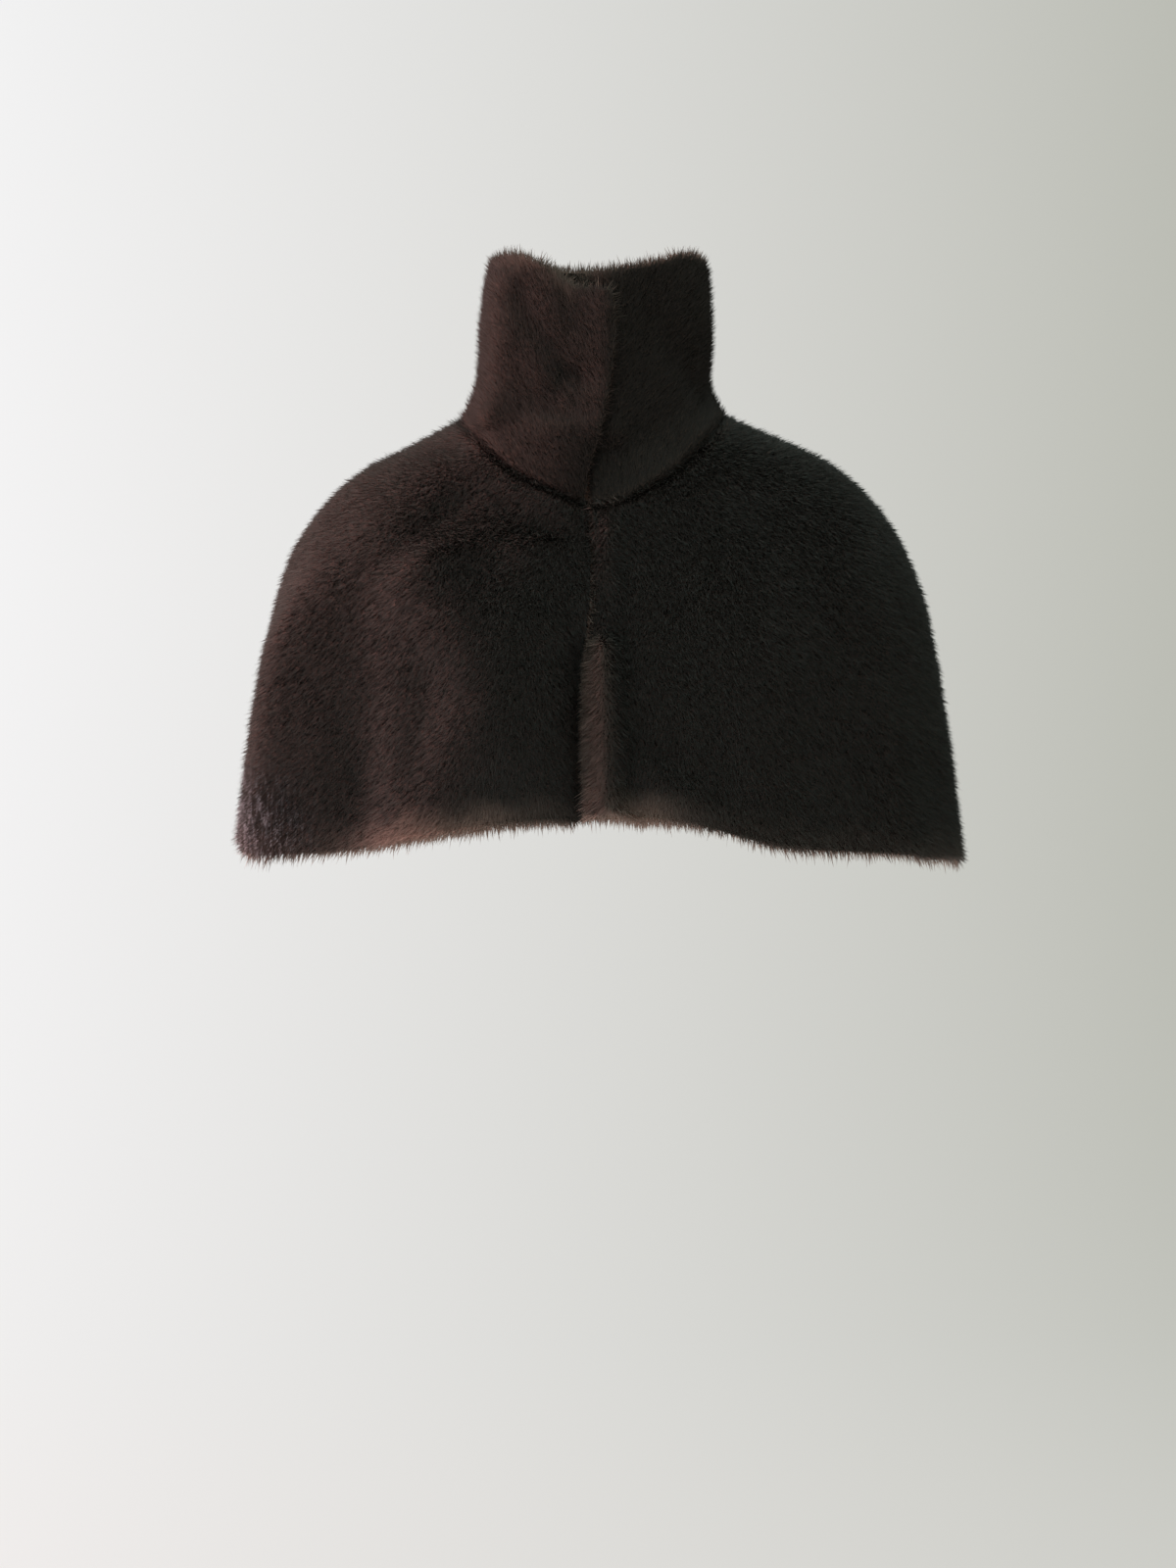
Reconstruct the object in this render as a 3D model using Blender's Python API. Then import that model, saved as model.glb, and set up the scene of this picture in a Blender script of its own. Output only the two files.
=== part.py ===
"""Fur cape with a high lapped collar, hollow and in the shape it takes when it is worn.

Metres, +Z up. The origin is in the middle of the neck, at the height of the neck seam on the shoulders.
The front faces -Y and the wearer's left is +X. Angles are degrees round the body: 0 is the centre front,
+90 the wearer's left shoulder, 180 the centre back and 270, or -90, the wearer's right shoulder.

Every panel is a wall of fur cloth. Its outer face is read from a table of sections, and its inner face is
the same points moved in along the normal by the cloth's thickness. Free edges are rounded, because fur wraps
round them. Sewn edges are flat and face each other across a small gap.
"""

import math
from bisect import bisect_right
from collections import namedtuple

import bmesh
import bpy
from mathutils import Vector

NAME = "fur_cape"

BODY_CLOTH = 0.009       # leather backing with its dense pile, one layer
COLLAR_CLOTH = 0.014     # the band is folded along its rim, so it is two layers
SEAM_GAP = 0.0005        # between the faces of two sewn edges, before they are made of flat faces
NECK_SEAM_STEP = 0.0005  # how far each neck seam edge stays from the seam line, along its own surface
FRONT_GAP = 0.0002       # between the rounded front edges
SIDE_SEAM = 93.0         # the shoulder and side seam runs just behind the top of the shoulder
LAP_CLEARANCE = 0.0022   # between the two ends of the collar
NORMAL_STEP = 0.004      # half of how far apart the points are that give a normal, as a share of a panel
PANEL_TURN = 100.0       # about how many degrees round the body a panel goes
SEAM_TURN = 2.0          # half of how far apart, in degrees, the points are that give the seam's direction
SEAM_BLEND_RUN = 0.10    # the run down the body over which the wall turns to the neck seam's direction
SEAM_BLEND_RISE = 0.15   # and the rise up the collar

# Places near an edge, away from it in thicknesses of the cloth, and how full the wall is there.
EdgePlace = namedtuple("EdgePlace", "away full")
SEWN_EDGE = (EdgePlace(0.0, 1.0),)
ROUND_EDGE = (EdgePlace(0.0, 0.0), EdgePlace(0.146, 0.707), EdgePlace(0.5, 1.0))
ROLLED_EDGE = (*ROUND_EDGE, EdgePlace(1.4, 1.0))

# Sections of the body. run goes from the neck seam, 0, to the hem, 1. right, left, front and back are how
# far the outer face reaches on each side. The drops are shares of the way down from the seam to the hem,
# and full is how much fuller than an ellipse the section is between its four sides.
BodyRow = namedtuple("BodyRow", "run right left front back side_drop front_drop back_drop full")
BODY = (
    BodyRow(0.00, 0.118, 0.1085, 0.112, 0.082, 0.000, 0.000, 0.000, 0.00),
    BodyRow(0.06, 0.140, 0.1360, 0.117, 0.093, 0.034, 0.065, 0.045, 0.00),
    BodyRow(0.15, 0.173, 0.1775, 0.124, 0.107, 0.080, 0.160, 0.130, 0.01),
    BodyRow(0.23, 0.207, 0.2085, 0.131, 0.119, 0.129, 0.245, 0.210, 0.02),
    BodyRow(0.34, 0.238, 0.2400, 0.140, 0.132, 0.218, 0.355, 0.330, 0.03),
    BodyRow(0.43, 0.260, 0.2620, 0.148, 0.142, 0.312, 0.455, 0.440, 0.04),
    BodyRow(0.52, 0.273, 0.2760, 0.154, 0.149, 0.420, 0.555, 0.545, 0.04),
    BodyRow(0.64, 0.282, 0.2870, 0.159, 0.155, 0.558, 0.675, 0.675, 0.04),
    BodyRow(0.76, 0.291, 0.2960, 0.162, 0.159, 0.712, 0.795, 0.800, 0.04),
    BodyRow(0.89, 0.299, 0.3035, 0.164, 0.162, 0.862, 0.905, 0.915, 0.04),
    BodyRow(1.00, 0.304, 0.3080, 0.165, 0.163, 1.000, 1.000, 1.000, 0.04),
)

# Sections of the collar. rise goes from the neck seam, 0, to the rim, 1.
CollarRow = namedtuple("CollarRow", "rise right left front back")
COLLAR = (
    CollarRow(0.00, 0.118, 0.1085, 0.1120, 0.0820),
    CollarRow(0.16, 0.107, 0.0955, 0.1090, 0.0780),
    CollarRow(0.30, 0.102, 0.0946, 0.1085, 0.0770),
    CollarRow(0.53, 0.102, 0.0970, 0.1085, 0.0775),
    CollarRow(0.78, 0.098, 0.0950, 0.1080, 0.0775),
    CollarRow(1.00, 0.093, 0.0920, 0.1060, 0.0765),
)

# Heights of the neck seam, the hem and the collar's rim, by the angle round the body. The rim's angles run
# from the end that lies under the lap, through the wearer's left, the back and the right, to the lap.
Height = namedtuple("Height", "angle height")
NECK = (
    Height(-180, 0.014), Height(-90, 0.004), Height(-60, -0.017), Height(-30, -0.058), Height(0, -0.080),
    Height(30, -0.056), Height(60, -0.015), Height(90, 0.008), Height(180, 0.014),
)
HEM = (
    Height(-180, -0.340), Height(-150, -0.346), Height(-115, -0.358), Height(-88, -0.352),
    Height(-60, -0.366), Height(-40, -0.359), Height(-25, -0.349), Height(-12, -0.341), Height(4, -0.336),
    Height(13, -0.339), Height(20, -0.348), Height(26, -0.357), Height(48, -0.364), Height(62, -0.368),
    Height(88, -0.370), Height(118, -0.362), Height(150, -0.347), Height(180, -0.340),
)
RIM = (
    Height(-20, 0.0935), Height(0, 0.0955), Height(30, 0.104), Height(60, 0.119), Height(90, 0.135),
    Height(120, 0.150), Height(150, 0.148), Height(180, 0.1435), Height(225, 0.144), Height(270, 0.140),
    Height(305, 0.133), Height(322, 0.1255), Height(335, 0.1135), Height(348, 0.0975), Height(357, 0.0955),
    Height(380, 0.0955),
)

# Large folds of the body: crest is how far each stands out at the hem, or in if it is less than 0. It
# grows from nothing at start, and spread is its half width in degrees.
FOLD_GROWTH = 1.25       # how much sooner than the hem a fold is at its full size
Fold = namedtuple("Fold", "name angle spread crest start")
FOLDS = (
    Fold("right_front_roll", -23, 7.5, 0.010, 0.22),
    Fold("right_side_hollow", -42, 6.5, -0.010, 0.35),
    Fold("right_side_roll", -64, 8.0, 0.005, 0.40),
    Fold("right_edge_hollow", -8, 5.0, -0.008, 0.12),
    Fold("left_front_roll", 20, 7.0, 0.005, 0.30),
    Fold("left_front_hollow", 37, 5.5, -0.008, 0.25),
    Fold("left_side_roll", 49, 5.0, 0.005, 0.35),
    Fold("left_side_hollow", 64, 6.0, -0.006, 0.40),
    Fold("left_back_roll", 112, 8.0, 0.006, 0.30),
    Fold("left_back_hollow", 131, 7.0, -0.009, 0.25),
    Fold("back_left_roll", 152, 9.0, 0.008, 0.20),
    Fold("back_hollow", 177, 8.0, -0.009, 0.30),
    Fold("back_right_roll", 203, 10.0, 0.009, 0.18),
    Fold("right_back_hollow", 228, 6.5, -0.008, 0.28),
    Fold("right_back_roll", 247, 7.0, 0.005, 0.35),
)

# The line where the two fronts meet, and how far each front's edge stands out beside it.
FrontEdge = namedtuple("FrontEdge", "height across right_stand left_stand")
FRONT_EDGE = (
    FrontEdge(-0.338, -0.0105, 0.000, 0.009),
    FrontEdge(-0.290, -0.0145, 0.000, 0.009),
    FrontEdge(-0.240, -0.0145, 0.000, 0.006),
    FrontEdge(-0.194, -0.0105, 0.001, 0.000),
    FrontEdge(-0.165, -0.0070, 0.004, 0.000),
    FrontEdge(-0.125, -0.0060, 0.002, 0.002),
    FrontEdge(-0.080, -0.0085, 0.000, 0.003),
)
RIGHT_STAND_WIDTH = 0.020    # how far back from its edge the right front stands out
LEFT_STAND_WIDTH = 0.055     # and the left front
EDGE_ROLL = 0.004            # how far each front rolls in at its very edge
EDGE_ROLL_WIDTH = 0.014
HEM_CORNER = 0.010           # radius of the fronts' lower corners

# Where the collar's two ends lie, across the centre front, at each rise.
CollarEnd = namedtuple("CollarEnd", "rise over under")
COLLAR_ENDS = (
    CollarEnd(0.00, -0.0100, -0.0085),
    CollarEnd(0.12, -0.0085, -0.0085),
    CollarEnd(0.20, -0.0040, -0.0135),
    CollarEnd(0.32, 0.0050, -0.0200),
    CollarEnd(0.50, 0.0140, -0.0240),
    CollarEnd(0.80, 0.0180, -0.0260),
    CollarEnd(1.00, 0.0180, -0.0260),
)
LAP_START = 0.05             # the rise at which the ends begin to part, one over the other
LAP_FULL = 0.17              # the rise at which they are a whole thickness apart
LAP_RUN_OUT = 75.0           # degrees from the front by which each end is back on the collar's own line
LAP_FLAT = 12.0              # degrees from the front within which the ends lie flat on each other
RIM_CORNER = 0.10            # share of the rise over which the lap's upper corner is rounded
RIM_CORNER_RADIUS = 0.014

# About how long the panels are, which spaces the places near their edges.
FRONT_WIDTH = 0.36
BODY_LENGTH = 0.36
FRONT_EDGE_LENGTH = 0.27
COLLAR_LENGTH = 0.64
COLLAR_HEIGHT = 0.16

BODY_ROWS = 16
FRONT_COLUMNS = 20
BACK_COLUMNS = 34
COLLAR_ROWS = 9
COLLAR_COLUMNS = 72

# The hook and eye that hold the fronts together, bent from wire and sewn to the fronts' inner faces.
HOOK_HEIGHT = -0.194
WIRE = 0.0009
WIRE_CLEARANCE = 0.0008      # between the wire and the cloth it is sewn to
SEWING_RING = 0.0019         # radius of the small rings that the thread goes round
RING_STEPS = 10
RING_GAP = 75.0              # degrees
HOOK_SHANK = 0.0085          # from the front edge to the hook's rings
HOOK_REACH = 0.0042          # how far the hook reaches past the edge
HOOK_HALF_WIDTH = 0.0009
BILL_LENGTH = 0.0075
BILL_LIFT = 0.0027           # from the shank to the bill over it
EYE_HALF_WIDTH = 0.0025
EYE_SHANK = 0.0100


def clear_scene():
    for ob in list(bpy.data.objects):
        bpy.data.objects.remove(ob, do_unlink=True)


def new_material(name, colour, roughness, metallic=0.0):
    material = bpy.data.materials.new(name)
    material.use_nodes = True
    shader = material.node_tree.nodes["Principled BSDF"]
    shader.inputs["Base Color"].default_value = (*colour, 1.0)
    shader.inputs["Roughness"].default_value = roughness
    shader.inputs["Metallic"].default_value = metallic
    material.diffuse_color = (*colour, 1.0)
    return material


class Curve:
    """A smooth curve through a table's rows, read by the table's first column. It never overshoots a row."""

    def __init__(self, rows, closed=False):
        rows = sorted(rows, key=lambda row: row[0])
        if closed:
            before = rows[-2]._replace(angle=rows[-2].angle - 360.0)
            after = rows[1]._replace(angle=rows[1].angle + 360.0)
            rows = [before, *rows, after]
        self.places = [row[0] for row in rows]
        self.columns = {
            field: [getattr(row, field) for row in rows] for field in rows[0]._fields[1:]
        }
        self.slopes = {field: self._slopes(values) for field, values in self.columns.items()}

    def _slopes(self, values):
        steps = [b - a for a, b in zip(self.places, self.places[1:])]
        rises = [(b - a) / step for a, b, step in zip(values, values[1:], steps)]
        slopes = [rises[0]]
        for before, after in zip(rises, rises[1:]):
            same_way = before * after > 0
            slopes.append(2 * before * after / (before + after) if same_way else 0.0)
        slopes.append(rises[-1])
        return slopes

    def at(self, place, field):
        last = len(self.places) - 2
        i = min(max(bisect_right(self.places, place) - 1, 0), last)
        step = self.places[i + 1] - self.places[i]
        t = (place - self.places[i]) / step
        values, slopes = self.columns[field], self.slopes[field]
        if t < 0:
            return values[i] + slopes[i] * (place - self.places[i])
        if t > 1:
            return values[i + 1] + slopes[i + 1] * (place - self.places[i + 1])
        return (
            values[i] * (1 + 2 * t) * (1 - t) ** 2
            + slopes[i] * step * t * (1 - t) ** 2
            + values[i + 1] * t * t * (3 - 2 * t)
            + slopes[i + 1] * step * t * t * (t - 1)
        )


body_curve = Curve(BODY)
collar_curve = Curve(COLLAR)
neck_curve = Curve(NECK, closed=True)
hem_curve = Curve(HEM, closed=True)
rim_curve = Curve(RIM)
edge_curve = Curve(FRONT_EDGE)
ends_curve = Curve(COLLAR_ENDS)


def ease(value):
    """0 below 0, 1 above 1, and a smooth step between."""
    value = min(max(value, 0.0), 1.0)
    return value * value * (3 - 2 * value)


def half_turn(angle):
    """The same angle between -180 and 180."""
    return (angle + 180.0) % 360.0 - 180.0


def by_side(angle, side, front, back):
    """Blends a value round the body from its value at the sides, the centre front and the centre back."""
    c = math.cos(math.radians(angle))
    return side + ((front if c > 0 else back) - side) * c * c


def round_body(angle, right, left, front, back, full):
    """A point of a section, as a vector with no height."""
    s, c = math.sin(math.radians(angle)), math.cos(math.radians(angle))
    fuller = 1 + full * (2 * s * c) ** 2
    across = (left if s > 0 else right) * s * fuller
    deep = -(front if c > 0 else back) * c * fuller
    return Vector((across, deep, 0.0))


def fold_depth(angle, run):
    """How far the folds move the outer face out, at an angle and a run."""
    depth = 0.0
    for fold in FOLDS:
        away = half_turn(angle - fold.angle) / fold.spread
        grown = ease((run - fold.start) / (1.0 - fold.start) * FOLD_GROWTH)
        depth += fold.crest * grown * math.exp(-0.5 * away * away)
    return depth


def body_point(angle, run):
    """A point of the body's outer face."""
    section = [body_curve.at(run, field) for field in ("right", "left", "front", "back", "full")]
    flat = round_body(angle, *section)
    drop = by_side(angle, *[body_curve.at(run, f) for f in ("side_drop", "front_drop", "back_drop")])
    seam = neck_curve.at(half_turn(angle), "height")
    hem = hem_curve.at(half_turn(angle), "height")
    flat += flat.normalized() * fold_depth(angle, run)
    flat.z = seam + (hem - seam) * drop
    return flat


def collar_point(angle, rise):
    """A point of the collar's outer face, with no lap."""
    flat = round_body(angle, *[collar_curve.at(rise, field) for field in COLLAR[0]._fields[1:]], 0.0)
    seam = neck_curve.at(half_turn(angle), "height")
    flat.z = seam + (rim_curve.at(angle, "height") - seam) * rise
    return flat


def front_edge_angle(run):
    """The angle at which the two fronts meet, at a run."""
    across = edge_curve.at(body_point(0.0, run).z, "across")
    return math.degrees(math.asin(across / body_curve.at(run, "left" if across > 0 else "right")))


def from_front_edge(angle, run):
    """How far a place on the body is from the line where the fronts meet, in metres."""
    return abs(math.radians(angle - front_edge_angle(run))) * body_curve.at(run, "right")


def edge_roll(away):
    """How far a front is rolled in, by how far it is from its edge."""
    return max(1.0 - away / EDGE_ROLL_WIDTH, 0.0) ** 2 * EDGE_ROLL


def front_stand(angle, run, side):
    """How far a front stands out beside its edge. side is 'right' or 'left'."""
    away = from_front_edge(angle, run)
    width = RIGHT_STAND_WIDTH if side == "right" else LEFT_STAND_WIDTH
    stand = edge_curve.at(body_point(0.0, run).z, side + "_stand")
    return stand * (1.0 - ease(away / width)) - edge_roll(away)


def front_point(angle, run, side):
    """A point of a front's outer face."""
    point = body_point(angle, run)
    outward = Vector((point.x, point.y, 0.0)).normalized()
    return point + outward * front_stand(angle, run, side)


def lapped_collar_point(angle, rise):
    """A point of the collar's outer face, its two ends lying one over the other."""
    point = collar_point(angle, rise)
    outward = Vector((point.x, point.y, 0.0)).normalized()
    parted = ease((rise - LAP_START) / (LAP_FULL - LAP_START)) * (COLLAR_CLOTH + LAP_CLEARANCE) / 2
    over = ease((angle - (360.0 - LAP_RUN_OUT)) / (LAP_RUN_OUT - LAP_FLAT))
    under = ease((LAP_RUN_OUT - angle) / (LAP_RUN_OUT - LAP_FLAT))
    return point + outward * parted * (over - under)


def surface_normal(place, u, v):
    """The outward normal of a surface at u, v, where u runs to the wearer's left and v runs down."""
    along = place(u + NORMAL_STEP, v) - place(u - NORMAL_STEP, v)
    down = place(u, v + NORMAL_STEP) - place(u, v - NORMAL_STEP)
    return down.cross(along).normalized()


def seam_normal(angle):
    """The direction that halves the bend between the collar and the body at the neck seam."""
    along = body_point(angle + SEAM_TURN, 0.0) - body_point(angle - SEAM_TURN, 0.0)
    body_down = body_point(angle, SEAM_BLEND_RUN * 0.3) - body_point(angle, 0.0)
    round_angle = angle % 360.0
    collar_down = collar_point(round_angle, 0.0) - collar_point(round_angle, SEAM_BLEND_RISE * 0.4)
    halves = body_down.cross(along).normalized() + collar_down.cross(along).normalized()
    return halves.normalized()


def stations(count, length, cloth, start_edge, end_edge):
    """Places from 0 to 1 across a panel of a length, each with how full the wall is there."""
    start = [(place.away * cloth / length, place.full) for place in start_edge]
    end = [(1.0 - place.away * cloth / length, place.full) for place in reversed(end_edge)]
    first, last = start[-1][0], end[0][0]
    middle = [(first + (last - first) * i / count, 1.0) for i in range(1, count)]
    return start + middle + end


def build_wall(name, columns, rows, outer_at, normal_at, cloth, material, collection):
    """A closed wall of cloth. Its faces join two sheets of points, a whole thickness apart where it is full
    and one and the same along its free edges."""
    mesh = bmesh.new()
    outer, inner = {}, {}
    for j, (v, row_full) in enumerate(rows):
        for i, (u, column_full) in enumerate(columns):
            point, normal = outer_at(u, v), normal_at(u, v)
            half = cloth / 2 * row_full * column_full
            middle = point - normal * (cloth / 2)
            outer[i, j] = mesh.verts.new(middle + normal * half)
            inner[i, j] = mesh.verts.new(middle - normal * half) if half > 0 else outer[i, j]
    wide, high = len(columns) - 1, len(rows) - 1
    for j in range(high):
        for i in range(wide):
            corners = ((i, j), (i, j + 1), (i + 1, j + 1), (i + 1, j))
            mesh.faces.new([outer[c] for c in corners])
            mesh.faces.new([inner[c] for c in reversed(corners)])
    borders = (
        [(i, 0) for i in range(wide + 1)],
        [(wide, j) for j in range(high + 1)],
        [(i, high) for i in range(wide, -1, -1)],
        [(0, j) for j in range(high, -1, -1)],
    )
    for border in borders:
        for a, b in zip(border, border[1:]):
            loop = list(dict.fromkeys([outer[a], outer[b], inner[b], inner[a]]))
            if len(loop) > 2:
                mesh.faces.new(loop)
    bmesh.ops.recalc_face_normals(mesh, faces=mesh.faces)
    data = bpy.data.meshes.new(name)
    mesh.to_mesh(data)
    mesh.free()
    data.shade_smooth()
    data.materials.append(material)
    ob = bpy.data.objects.new(name, data)
    collection.objects.link(ob)
    return ob


def body_normal(angle, run, surface):
    """The body's normal, turned at the top to the neck seam's own direction."""
    true = surface_normal(lambda u, v: surface(angle + (u - 0.5) * PANEL_TURN, v), 0.5, run)
    near = 1.0 - ease(run / SEAM_BLEND_RUN)
    return (true * (1.0 - near) + seam_normal(angle) * near).normalized()


def body_run(v, edge):
    """A row's run down the body, a little short of the neck seam at the top."""
    return v + (1.0 - v) * edge


def side_seam_step(run):
    """How far a panel's edge stays from the side seam's own line, in degrees."""
    return math.degrees(SEAM_GAP / 2 / body_curve.at(run, "back"))


def build_front(side, material, collection):
    """One front. It runs from the side seam to the line where the two fronts meet."""
    sign = 1.0 if side == "left" else -1.0
    top = NECK_SEAM_STEP / BODY_LENGTH

    def angle_at(u, v):
        """u is 0 at the side seam and 1 at the front edge."""
        run = body_run(v, top)
        corner = max((v - 1.0) * FRONT_EDGE_LENGTH + HEM_CORNER, 0.0)
        inset = HEM_CORNER - math.sqrt(max(HEM_CORNER**2 - corner**2, 0.0)) + FRONT_GAP / 2
        edge = front_edge_angle(run) + sign * math.degrees(inset / body_curve.at(run, "right"))
        seam = sign * (SIDE_SEAM - side_seam_step(run))
        return seam + (edge - seam) * u

    def surface(angle, run):
        return front_point(angle, run, side)

    columns = stations(FRONT_COLUMNS, FRONT_WIDTH, BODY_CLOTH, SEWN_EDGE, ROLLED_EDGE)
    rows = stations(BODY_ROWS, BODY_LENGTH, BODY_CLOTH, SEWN_EDGE, ROUND_EDGE)
    return build_wall(
        "front_" + side,
        columns,
        rows,
        lambda u, v: surface(angle_at(u, v), body_run(v, top)),
        lambda u, v: body_normal(angle_at(u, v), body_run(v, top), surface),
        BODY_CLOTH,
        material,
        collection,
    )


def build_back(material, collection):
    """The back, from the left side seam round to the right one."""
    top = NECK_SEAM_STEP / BODY_LENGTH

    def angle_at(u, v):
        first = SIDE_SEAM + side_seam_step(body_run(v, top))
        return first + (360.0 - 2 * first) * u

    return build_wall(
        "back",
        stations(BACK_COLUMNS, 2 * FRONT_WIDTH, BODY_CLOTH, SEWN_EDGE, SEWN_EDGE),
        stations(BODY_ROWS, BODY_LENGTH, BODY_CLOTH, SEWN_EDGE, ROUND_EDGE),
        lambda u, v: body_point(angle_at(u, v), body_run(v, top)),
        lambda u, v: body_normal(angle_at(u, v), body_run(v, top), body_point),
        BODY_CLOTH,
        material,
        collection,
    )


def collar_end_angle(across, rise):
    """The angle of a place across the centre front of the collar, at a rise."""
    return math.degrees(math.asin(across / collar_curve.at(rise, "right")))


def build_collar(material, collection):
    """The collar, from the end that lies under, round the back, to the end that laps over it."""
    bottom = NECK_SEAM_STEP / COLLAR_HEIGHT

    def angle_at(u, rise):
        corner = max(rise - (1.0 - RIM_CORNER), 0.0) / RIM_CORNER
        inset = RIM_CORNER_RADIUS * (1.0 - math.sqrt(max(1.0 - corner * corner, 0.0))) + FRONT_GAP / 2
        over = 360.0 + collar_end_angle(ends_curve.at(rise, "over") - inset, rise)
        under = collar_end_angle(ends_curve.at(rise, "under") + inset, rise)
        return under + (over - under) * u

    def rise_at(v):
        return bottom + (1.0 - bottom) * (1.0 - v)

    def point_at(u, v):
        return lapped_collar_point(angle_at(u, rise_at(v)), rise_at(v))

    def normal_at(u, v):
        angle, rise = angle_at(u, rise_at(v)), rise_at(v)
        true = surface_normal(lambda a, b: lapped_collar_point(angle + (a - 0.5) * 360.0, 1.0 - b), 0.5, v)
        near = 1.0 - ease(rise / SEAM_BLEND_RISE)
        return (true * (1.0 - near) + seam_normal(angle) * near).normalized()

    return build_wall(
        "collar",
        stations(COLLAR_COLUMNS, COLLAR_LENGTH, COLLAR_CLOTH, ROUND_EDGE, ROUND_EDGE),
        stations(COLLAR_ROWS, COLLAR_HEIGHT, COLLAR_CLOTH, ROUND_EDGE, SEWN_EDGE),
        point_at,
        normal_at,
        COLLAR_CLOTH,
        material,
        collection,
    )


def run_at_height(height):
    """The run at which the body's centre front is at a height."""
    low, high = 0.0, 1.0
    for _ in range(30):
        middle = (low + high) / 2
        low, high = (middle, high) if body_point(0.0, middle).z > height else (low, middle)
    return low


def inside_front(across, up, lift):
    """A place for the middle of a wire on the fronts' inner face: across from the front edge to the wearer's
    left, up from the hook's height, and lift further in from the cloth."""
    run = run_at_height(HOOK_HEIGHT + up)
    angle = front_edge_angle(run) + math.degrees(across / body_curve.at(run, "left"))
    normal = surface_normal(lambda u, v: body_point(angle + (u - 0.5) * PANEL_TURN, v), 0.5, run)
    depth = BODY_CLOTH + edge_roll(abs(across)) + WIRE_CLEARANCE + WIRE / 2 + lift
    return body_point(angle, run) - normal * depth


def sewing_ring(across, up, leaves):
    """A small circle, open by RING_GAP, that ends at its side nearest the middle. The wire leaves it there,
    to the wearer's left if leaves is 1 and to the right if it is -1."""
    first, last = math.radians(270.0 - RING_GAP), math.radians(-90.0)
    ring = []
    for i in range(RING_STEPS):
        a = first + (last - first) * i / (RING_STEPS - 1)
        ring.append((across - leaves * SEWING_RING * math.cos(a), up + SEWING_RING * math.sin(a), 0.0))
    return ring


def smooth_path(points, steps=2):
    """Points along a smooth curve through the given ones."""
    path = []
    padded = [points[0], *points, points[-1]]
    for before, a, b, after in zip(padded, padded[1:], padded[2:], padded[3:]):
        for i in range(steps):
            t = i / steps
            path.append(
                a
                + (b - before) * (t / 2)
                + (before * 2 - a * 5 + b * 4 - after) * (t * t / 2)
                + ((a - b) * 3 + after - before) * (t**3 / 2)
            )
    return [*path, points[-1]]


def build_wire(name, places, material, collection):
    """A wire through places on the fronts' inner face."""
    path = smooth_path([inside_front(*place) for place in places])
    data = bpy.data.curves.new(name, "CURVE")
    data.dimensions = "3D"
    data.bevel_depth = WIRE / 2
    data.bevel_resolution = 2
    data.use_fill_caps = True
    spline = data.splines.new("POLY")
    spline.points.add(len(path) - 1)
    for point, place in zip(spline.points, path):
        point.co = (*place, 1.0)
    data.materials.append(material)
    ob = bpy.data.objects.new(name, data)
    collection.objects.link(ob)
    return ob


def mirrored(half):
    """A path of places and its mirror image, end to end, with the halves above and below the middle."""
    return half + [(across, -up, lift) for across, up, lift in reversed(half)]


def build_hook(material, collection):
    """The hook, sewn to the left front. Its doubled wire reaches past the edge and folds back over itself."""
    w = HOOK_HALF_WIDTH
    ring_up = w + SEWING_RING
    half = sewing_ring(HOOK_SHANK + SEWING_RING, ring_up, -1.0)
    half += [
        (HOOK_SHANK - 0.002, w, 0.0),
        (HOOK_SHANK / 2, w, 0.0),
        (0.0, w, 0.0),
        (-HOOK_REACH + 0.0012, w, 0.0),
        (-HOOK_REACH, w, BILL_LIFT / 2),
        (-HOOK_REACH + 0.0012, w, BILL_LIFT),
        (-HOOK_REACH + BILL_LENGTH * 0.6, w, BILL_LIFT - 0.0003),
        (-HOOK_REACH + BILL_LENGTH, w * 0.7, BILL_LIFT - 0.0003),
    ]
    return build_wire("front_hook", mirrored(half), material, collection)


def build_eye(material, collection):
    """The eye, sewn to the right front. Its bar lies inside the hook's bend."""
    w = EYE_HALF_WIDTH
    half = sewing_ring(-EYE_SHANK - SEWING_RING, w + SEWING_RING, 1.0)
    half += [
        (-EYE_SHANK + 0.002, w, 0.0),
        (-EYE_SHANK * 0.6, w, 0.0005),
        (-HOOK_REACH + 0.0005, w, BILL_LIFT / 2),
        (-HOOK_REACH + 0.0014, w * 0.75, BILL_LIFT / 2),
        (-HOOK_REACH + 0.0016, w * 0.3, BILL_LIFT / 2),
    ]
    return build_wire("front_eye", mirrored(half), material, collection)


def main():
    clear_scene()
    collection = bpy.data.collections.new(NAME)
    bpy.context.scene.collection.children.link(collection)
    fur = new_material("brown_fur", (0.024, 0.016, 0.013), 0.85)
    collar_fur = new_material("collar_fur", (0.030, 0.020, 0.015), 0.85)
    build_back(fur, collection)
    build_front("right", fur, collection)
    build_front("left", fur, collection)
    build_collar(collar_fur, collection)
    wire = new_material("black_wire", (0.02, 0.02, 0.02), 0.35, 1.0)
    build_hook(wire, collection)
    build_eye(wire, collection)


main()
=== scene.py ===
"""Fur cape with a high lapped collar: its looks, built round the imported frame.

Metres, +Z up. The front faces -Y and the wearer's left is +X. Angles are degrees round the body: 0 is the
centre front, +90 the wearer's left, 180 the back and -90 the wearer's right.

Each cloth piece is a thin skin, made from its solid with the pile taken off it. The hair is a piece of its
own: short flat locks rooted in the skin, which lie the way the pelts' hair was brushed.
"""

import math
from collections import namedtuple

import bmesh
import bpy
import numpy as np
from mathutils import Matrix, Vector, noise


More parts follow.
